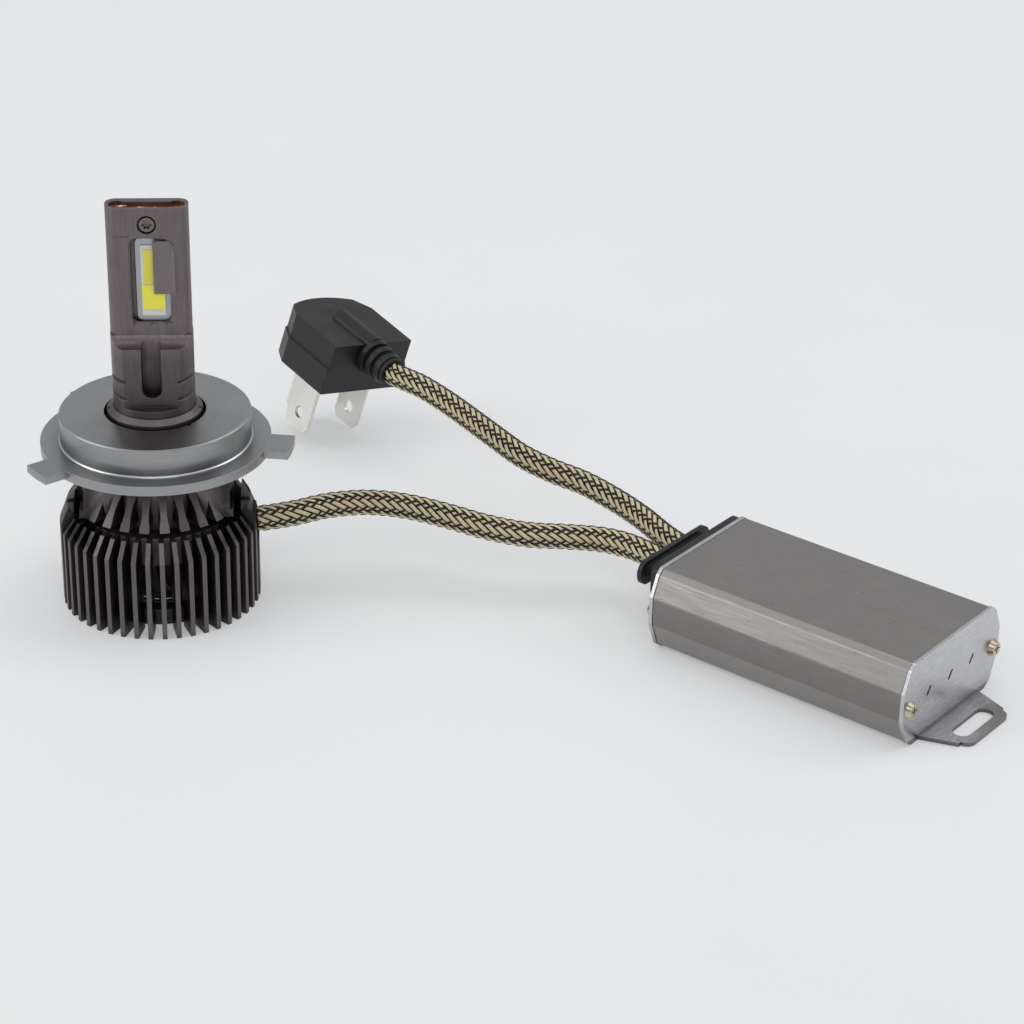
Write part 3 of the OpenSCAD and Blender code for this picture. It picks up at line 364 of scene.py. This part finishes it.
    # A lighter copy of the collar metal: a painted highlight line.
    MATS["bead"] = metal("collar_bead_highlight", (0.66, 0.66, 0.67), 0.28, 1.0, 14, 0.05, spread=0.05, edge_lightening=0.0, soft=0.0)
    MATS["green"] = plastic("board_green", (0.02, 0.14, 0.05), 0.3, 0.5, 3, 0.1, dust=0.05)
    MATS["base"] = plastic("lamp_base", (0.70, 0.68, 0.63), 0.55, 0.4, 12, 0.1, dust=0.0, edge_lightening=0.0, soft=0.05)

    # The phosphor: fine speckle, and the upper chip duller than the lower one.
    m = Mat("lamp_phosphor", roughness=0.42, specular=0.5)
    speck = m.noise(m.coords((22, 22, 22)), 2.0, 0.7)
    upper = m.remap(m.place(), 33.4, 33.6)
    low = m.mix(m.remap(speck, 0.3, 0.7), lin(240, 228, 58), lin(253, 246, 100))
    high = m.mix(m.remap(speck, 0.3, 0.7), lin(222, 210, 70), lin(238, 228, 100))
    MATS["phosphor"] = m.finish(m.mix(upper, low, high), 0.42, m.bump(speck, 0.1, 0.02))

    # Copper, tarnished, with traces of white heat paste on its upper end.
    m = Mat("copper_bare", metallic=1.0, roughness=0.32)
    tarnish = m.noise(m.coords((0.5, 0.5, 0.5)), 5.0, 0.65)
    copper = m.mix(m.remap(tarnish, 0.35, 0.7), (0.86, 0.36, 0.17), (0.55, 0.20, 0.09))
    paste = m.noise(m.coords((0.42, 0.9, 0.9), at=(3, 0, 0)), 3.0, 0.6)
    on_top = m.remap(m.place(), 48.3, 48.55)
    cover = m.math("MULTIPLY", m.remap(paste, 0.58, 0.62), on_top)
    m.put(m.shader.inputs["Metallic"], m.remap(cover, 0.0, 1.0, 1.0, 0.0))
    MATS["copper"] = m.finish(m.mix(cover, copper, (0.78, 0.78, 0.76)),
                              m.remap(cover, 0.0, 1.0, 0.3, 0.7), m.bump(tarnish, 0.3, 0.05))

    # Enamelled winding wire: turns as fine ridges, darker between them as painted shade in the creases.
    m = Mat("coil_wire", metallic=0.9, roughness=0.3)
    w = m.node("ShaderNodeTexWave", wave_type="BANDS", bands_direction="Z")
    w.inputs["Scale"].default_value = 1.0
    w.inputs["Distortion"].default_value = 0.6
    m.link(m.coords((0.0, 0.0, 1.4)), w.inputs["Vector"])
    turns = w.outputs["Fac"]
    MATS["coil"] = m.finish(m.mix(turns, (0.20, 0.06, 0.02), (0.66, 0.26, 0.09)), 0.3, m.bump(turns, 0.6, 0.1))

    # Sleeve strands. Along each ribbon, u runs across it: three flat filaments side by side.
    def strand(name, shade_and_thread_dark, light, rough, gloss):
        m = Mat(name, roughness=rough, specular=gloss, sheen=0.05)
        s = m.split(m.node("ShaderNodeUVMap", uv_map="strand").outputs[0])
        u = m.math("MULTIPLY", s["X"], 3.0)
        # The ridge is the filaments' bump, and also a painted shade: darker toward each filament's sides and in
        # the creases.
        ridge = m.math("ABSOLUTE", m.math("SINE", m.math("MULTIPLY", u, math.pi)))
        c = m.node("ShaderNodeCombineXYZ")
        m.link(m.math("MULTIPLY", s["X"], 9.0), c.inputs[0])
        m.link(s["Y"], c.inputs[1])
        threads = m.noise(c.outputs[0], 3.0, 0.6)
        # The tone: painted shade from the ridge, times a random thread tone.
        tone = m.math("MULTIPLY", m.remap(ridge, 0.0, 0.7, 0.45, 1.0), m.remap(threads, 0.3, 0.7, 0.65, 1.0))
        return m.finish(m.mix(tone, shade_and_thread_dark, light), m.remap(threads, 0.3, 0.7, rough - 0.08, rough + 0.1),
                        m.bump(m.math("ADD", ridge, threads), 0.35, 0.06))

    # The darker colour of each strand is mostly a shaded copy of the lighter one.
    MATS["cream"] = strand("sleeve_cream", lin(128, 114, 76), lin(226, 216, 178), 0.45, 0.5)
    MATS["black_strand"] = strand("sleeve_black", lin(7, 6, 6), lin(26, 24, 24), 0.42, 0.35)

    # The insulated wires under the sleeve: red and black, glimpsed between the strands.
    m = Mat("wire_insulation", roughness=0.4)
    s = m.split(m.node("ShaderNodeUVMap", uv_map="strand").outputs[0])
    winding = m.math("ADD", m.math("MULTIPLY", s["X"], 4 * math.pi), m.math("MULTIPLY", s["Y"], 0.25))
    side = m.math("SINE", winding)
    n = m.noise(m.coords((1, 1, 1)), 3.0, 0.6)
    red = m.mix(m.remap(n, 0.3, 0.7), lin(120, 14, 10), lin(168, 30, 22))
    MATS["wires"] = m.finish(m.mix(m.remap(side, -0.1, 0.1), lin(16, 14, 14), red), 0.4, m.bump(n, 0.1, 0.05))


make_materials()

NODE_MATS = {
    "heat_sink": "sink", "column_front": "column", "column_rear": "column", "copper_core": "copper",
    "column_screw": "screw_dark", "led_board_front": "board", "led_board_rear": "board",
    "led_base_front": "base", "led_base_rear": "base", "led_chips_front": "phosphor",
    "led_chips_rear": "phosphor", "beam_shield_front": "shield", "beam_shield_rear": "shield",
    "collar": "collar", "collar_o_ring": "rubber", "bulb_grommet": "rubber", "fan_frame": "fan",
    "fan_bearing": "bronze", "fan_rotor": "fan", "fan_shaft": "steel", "fan_magnet": "magnet",
    "fan_stator": "stator", "fan_coils": "coil", "fan_board": "green", "fan_guard": "guard",
    "fan_screws": "screw", "driver_case": "case", "driver_end_plate": "plate",
    "driver_front_plate": "plate", "end_plate_screws": "screw", "front_plate_screws": "screw",
    "cable_gland": "gland", "driver_board": "green", "driver_inductor": "coil",
    "driver_capacitors": "chip", "driver_transistors": "chip", "driver_chip": "chip",
    "bulb_cable": "cream", "plug_cable": "cream", "plug_body": "plug", "plug_strain_relief": "relief",
    "plug_blade_near": "blade", "plug_blade_far": "blade", "plug_blade_cross": "blade",
}
for name, obj in nodes.items():
    obj.data.materials.clear()
    obj.data.materials.append(MATS[NODE_MATS[name]])

# ------------------------------------------------------------------ sleeved leads

# Each lead's route repeats part.scad's: its exit, its points and its far end, in millimetres.
BULB_ROUTE = [
    (19.5, 0, -19), (27, 2, -18.9), (34, 4.8, -18.7), (42, 6, -18.7), (50, 5, -19.2), (58, 2.2, -20),
    (66, -1, -21), (74, -3, -21.8), (82, -3.2, -22.3), (89, -3.6, -22.8), (95, -6.6, -22.9), None,
]
PLUG_ROUTE = [
    None, (54.5, 52.6, -14.4), (60, 47, -15.7), (65, 40.5, -16.8), (70, 33.5, -17.8), (75, 26.8, -18.8),
    (81, 21.8, -19.8), (87.5, 17.8, -20.8), (93.5, 12, -21.8), (98.5, 5.5, -22.6), None,
]

# The braid, in millimetres: a ribbon goes once round in BRAID_LEAD, and rises and dips by BRAID_LIFT.
CORD_D = 5.0
BRAID_LEAD = 25.0
BRAID_LIFT = 0.15
CARRIERS = 12
CREAM_HALF, CREAM_T = 0.44, 0.08
DARK_HALF, DARK_T = 0.3, 0.12
PATH_STEP = 0.3
TUBE_DEPTH = 0.28
TUBE_SIDES = 20
# The places of the sleeve's materials on its mesh.
CREAM, DARK, WIRES = 0, 1, 2


def rotated(p, degrees):
    """p turned about X, then Y, then Z, as part.scad turns it."""
    turn = Matrix.Identity(4)
    for angle, axis in zip(degrees, "XYZ"):
        turn = Matrix.Rotation(math.radians(angle), 4, axis) @ turn
    return turn @ Vector(p)


PLUG_AT = (41.1, 65.9, -21.5)
PLUG_TURN = (-11.9, 10.6, -53.9)
PLUG_END = (8.3, 0, 9.2)
CASE_L = 57
PLATE_T = 0.8
GLAND_REACH = 7.2
GLAND_X = -CASE_L - PLATE_T - GLAND_REACH
LEAD_Y = 3.6
LEAD_Z = 12.6


def gland_end(y):
    """Where a lead ends, on the gland's outer face, y from its middle."""
    return tuple(Vector(DRIVER_AT) + rotated((GLAND_X, y, LEAD_Z), (0, 0, DRIVER_YAW)))


INTO_GLAND = rotated((1, 0, 0), (0, 0, DRIVER_YAW))
OUT_OF_PLUG = rotated((1, 0, 0), PLUG_TURN)
BULB_ROUTE[-1] = gland_end(-LEAD_Y)
PLUG_ROUTE[0] = tuple(Vector(PLUG_AT) + rotated(PLUG_END, PLUG_TURN))
PLUG_ROUTE[-1] = gland_end(LEAD_Y)


def smooth_path(points, first, last, step):
    """Points of a Catmull-Rom curve through the route, step millimetres apart, and its end directions."""
    p = [np.array(q, float) for q in points]
    a = p[0] - np.array(first, float) * np.linalg.norm(p[1] - p[0])
    b = p[-1] + np.array(last, float) * np.linalg.norm(p[-1] - p[-2])
    p = [a, *p, b]
    fine = []
    for p0, p1, p2, p3 in zip(p, p[1:], p[2:], p[3:]):
        for t in np.linspace(0, 1, 24, endpoint=False):
            fine.append(0.5 * (2 * p1 + (p2 - p0) * t + (2 * p0 - 5 * p1 + 4 * p2 - p3) * t * t
                               + (3 * p1 - p0 - 3 * p2 + p3) * t ** 3))
    fine.append(p[-2])
    fine = np.array(fine)
    along = np.concatenate([[0], np.cumsum(np.linalg.norm(np.diff(fine, axis=0), axis=1))])
    count = int(round(along[-1] / step)) + 1
    s = np.linspace(0, along[-1], count)
    return np.stack([np.interp(s, along, fine[:, k]) for k in range(3)], 1), s


def frames_along(path):
    """Tangent and two normals at each point, carried along without twist."""
    t = np.gradient(path, axis=0)
    t /= np.linalg.norm(t, axis=1)[:, None]
    n = np.zeros_like(t)
    up_dir = np.array([0, 0, 1.0])
    n[0] = up_dir - t[0] * up_dir.dot(t[0])
    n[0] /= np.linalg.norm(n[0])
    for i in range(1, len(t)):
        v = n[i - 1] - t[i] * n[i - 1].dot(t[i])
        n[i] = v / np.linalg.norm(v)
    return t, n, np.cross(t, n)


def mesh_object(name, verts, faces, uvs=None, materials=(), face_mats=None):
    mesh = bpy.data.meshes.new(name)
    mesh.from_pydata([tuple(v) for v in verts], [], faces)
    if uvs is not None:
        layer = mesh.uv_layers.new(name="strand")
        flat = np.array(uvs, np.float32)[[v for f in faces for v in f]].ravel()
        layer.data.foreach_set("uv", flat)
    for m in materials:
        mesh.materials.append(m)
    if face_mats is not None:
        mesh.polygons.foreach_set("material_index", face_mats)
    mesh.polygons.foreach_set("use_smooth", [True] * len(mesh.polygons))
    mesh.update()
    obj = bpy.data.objects.new(name, mesh)
    bpy.context.scene.collection.objects.link(obj)
    return obj


def braided(name, points, first, last):
    """A round braid on a tube of wires: cream ribbons one way, black ones the other, two over and two under."""
    path, s = smooth_path(points, first, last, PATH_STEP)
    t, n, b = frames_along(path)
    verts, faces, uvs, mats = [], [], [], []

    def sweep(angle, radius, half, thick, material):
        """One ribbon whose middle is at that angle and radius at each point of the path."""
        start = len(verts)
        half_angle = half / radius
        section = [(-1.0, 0.0), (-0.6, 0.8), (0.0, 1.0), (0.6, 0.8), (1.0, 0.0), (0.0, -0.6)]
        for i in range(len(path)):
            for j, (x, y) in enumerate(section):
                a = angle[i] + x * half_angle[i]
                r = radius[i] + y * thick
                verts.append((path[i] + r * (math.cos(a) * n[i] + math.sin(a) * b[i])) * MM)
                uvs.append(((x + 1) / 2, s[i]))
        k = len(section)
        for i in range(len(path) - 1):
            for j in range(k):
                p, q = start + i * k + j, start + i * k + (j + 1) % k
                faces.append((p, p + k, q + k, q))
                mats.append(material)
        faces.append(tuple(start + j for j in range(k)))
        faces.append(tuple(start + (len(path) - 1) * k + j for j in reversed(range(k))))
        mats.extend([material, material])

    omega = 2 * math.pi / BRAID_LEAD
    step = 2 * math.pi / CARRIERS
    middle = CORD_D / 2 - DARK_T
    for k in range(CARRIERS):
        crossings = 2 * omega * s / step
        over_a = np.cos((2 * k + crossings - 0.5) * math.pi / 2)
        over_b = -np.cos((2 * k - crossings - 0.5) * math.pi / 2)
        sweep(k * step + omega * s, middle + BRAID_LIFT * over_a, CREAM_HALF, CREAM_T, CREAM)
        sweep(k * step - omega * s, middle + BRAID_LIFT * over_b, DARK_HALF, DARK_T, DARK)
    start = len(verts)
    tube_r = middle - TUBE_DEPTH
    for i in range(len(path)):
        for j in range(TUBE_SIDES):
            a = 2 * math.pi * j / TUBE_SIDES
            verts.append((path[i] + tube_r * (math.cos(a) * n[i] + math.sin(a) * b[i])) * MM)
            uvs.append((j / TUBE_SIDES, s[i]))
    for i in range(len(path) - 1):
        for j in range(TUBE_SIDES):
            p, q = start + i * TUBE_SIDES + j, start + i * TUBE_SIDES + (j + 1) % TUBE_SIDES
            faces.append((p, p + TUBE_SIDES, q + TUBE_SIDES, q))
            mats.append(WIRES)
    for end in (0, len(path) - 1):
        faces.append(tuple(start + end * TUBE_SIDES + j for j in range(TUBE_SIDES)))
        mats.append(WIRES)
    obj = mesh_object(name, verts, faces, uvs, [MATS["cream"], MATS["black_strand"], MATS["wires"]], mats)
    return obj, path * MM, s[-1] * MM


bulb_lead, bulb_path, bulb_len = braided("bulb_lead_braid", BULB_ROUTE, (1, 0, 0), INTO_GLAND)
plug_lead, plug_path, plug_len = braided("plug_lead_braid", PLUG_ROUTE, OUT_OF_PLUG, INTO_GLAND)
for lead_obj, cad_node in ((bulb_lead, "bulb_cable"), (plug_lead, "plug_cable")):
    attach(lead_obj, "bulb")
    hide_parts(cad_node)

# ------------------------------------------------------------------ collar bead, with a painted highlight


def ring(name, section, sides=160):
    """A closed section of (radius, z) points, in millimetres, turned about the row's Z."""
    verts, faces = [], []
    k = len(section)
    for i in range(sides):
        a = 2 * math.pi * i / sides
        verts += [(r * math.cos(a) * MM, r * math.sin(a) * MM, z * MM) for r, z in section]
    for i in range(sides):
        for j in range(k):
            n, q = (i + 1) % sides * k, (j + 1) % k
            faces.append((i * k + j, n + j, n + q, i * k + q))
    return mesh_object(name, verts, faces, None, [MATS["bead"]])


# A small rounded foot where the boss of 19 mm radius meets the flange's upper face at z = 0.
# Its metal is a lighter copy of the collar's: a painted highlight line along the foot.
bead = ring("collar_foot_bead", [(18.95, -0.05), (19.42, -0.05), (19.34, 0.14), (19.2, 0.3), (18.95, 0.42)])
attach(bead, "collar")

# ------------------------------------------------------------------ studio


def area(name, place, target, size, power):
    """A rectangular lamp at a place, aimed at the target; metres and watts."""
    data = bpy.data.lights.new(name, "AREA")
    data.shape = "RECTANGLE"
    data.size, data.size_y = size
    data.energy = power
    obj = bpy.data.objects.new(name, data)
    bpy.context.scene.collection.objects.link(obj)
    obj.location = place
    obj.rotation_mode = "QUATERNION"
    obj.rotation_quaternion = (Vector(target) - Vector(place)).to_track_quat("-Z", "Y")


area("light_top", (0.05, 0.15, 1.3), (0.06, 0, 0), (1.3, 1.0), 4.5)
area("light_left", (-1.1, -0.1, 0.75), (0.0, 0, 0), (0.8, 0.9), 4.5)
area("light_right", (1.25, 0.25, 0.8), (0.08, 0, 0), (0.8, 0.9), 4.5)
area("light_back", (0.15, 1.5, 0.85), (0.06, 0, 0), (1.6, 0.7), 0.9)
area("light_low_left", (-1.3, -0.35, 0.32), (0.1, 0, 0), (0.7, 0.35), 1.3)
area("light_front", (0.1, -1.2, 0.95), (0.06, 0, 0), (0.9, 0.6), 3.0)
world = bpy.data.worlds.new("studio")
world.use_nodes = True
sky = world.node_tree.nodes["Background"]
sky.inputs["Color"].default_value = (0.96, 0.98, 1.0, 1.0)
sky.inputs["Strength"].default_value = 0.42
bpy.context.scene.world = world
bpy.context.scene.view_settings.view_transform = "Standard"
bpy.context.scene.view_settings.look = "None"

floor_corners = [(x, y, FLOOR_Z * MM) for x, y in ((-4, -3), (4, -3), (4, 6), (-4, 6))]
floor = mesh_object("floor", floor_corners, [(0, 1, 2, 3)])
m = Mat("floor_pale", roughness=0.55, specular=0.3)
tone = m.noise(m.coords((0.006, 0.006, 0.006)), 4.0, 0.6)
m.shader.inputs["Emission Color"].default_value = (0.98, 0.99, 1.0, 1.0)
m.shader.inputs["Emission Strength"].default_value = 0.3
pale = m.mix(m.remap(tone, 0.3, 0.7), (0.53, 0.535, 0.54), (0.56, 0.565, 0.57))
floor.data.materials.append(m.finish(pale, 0.55))
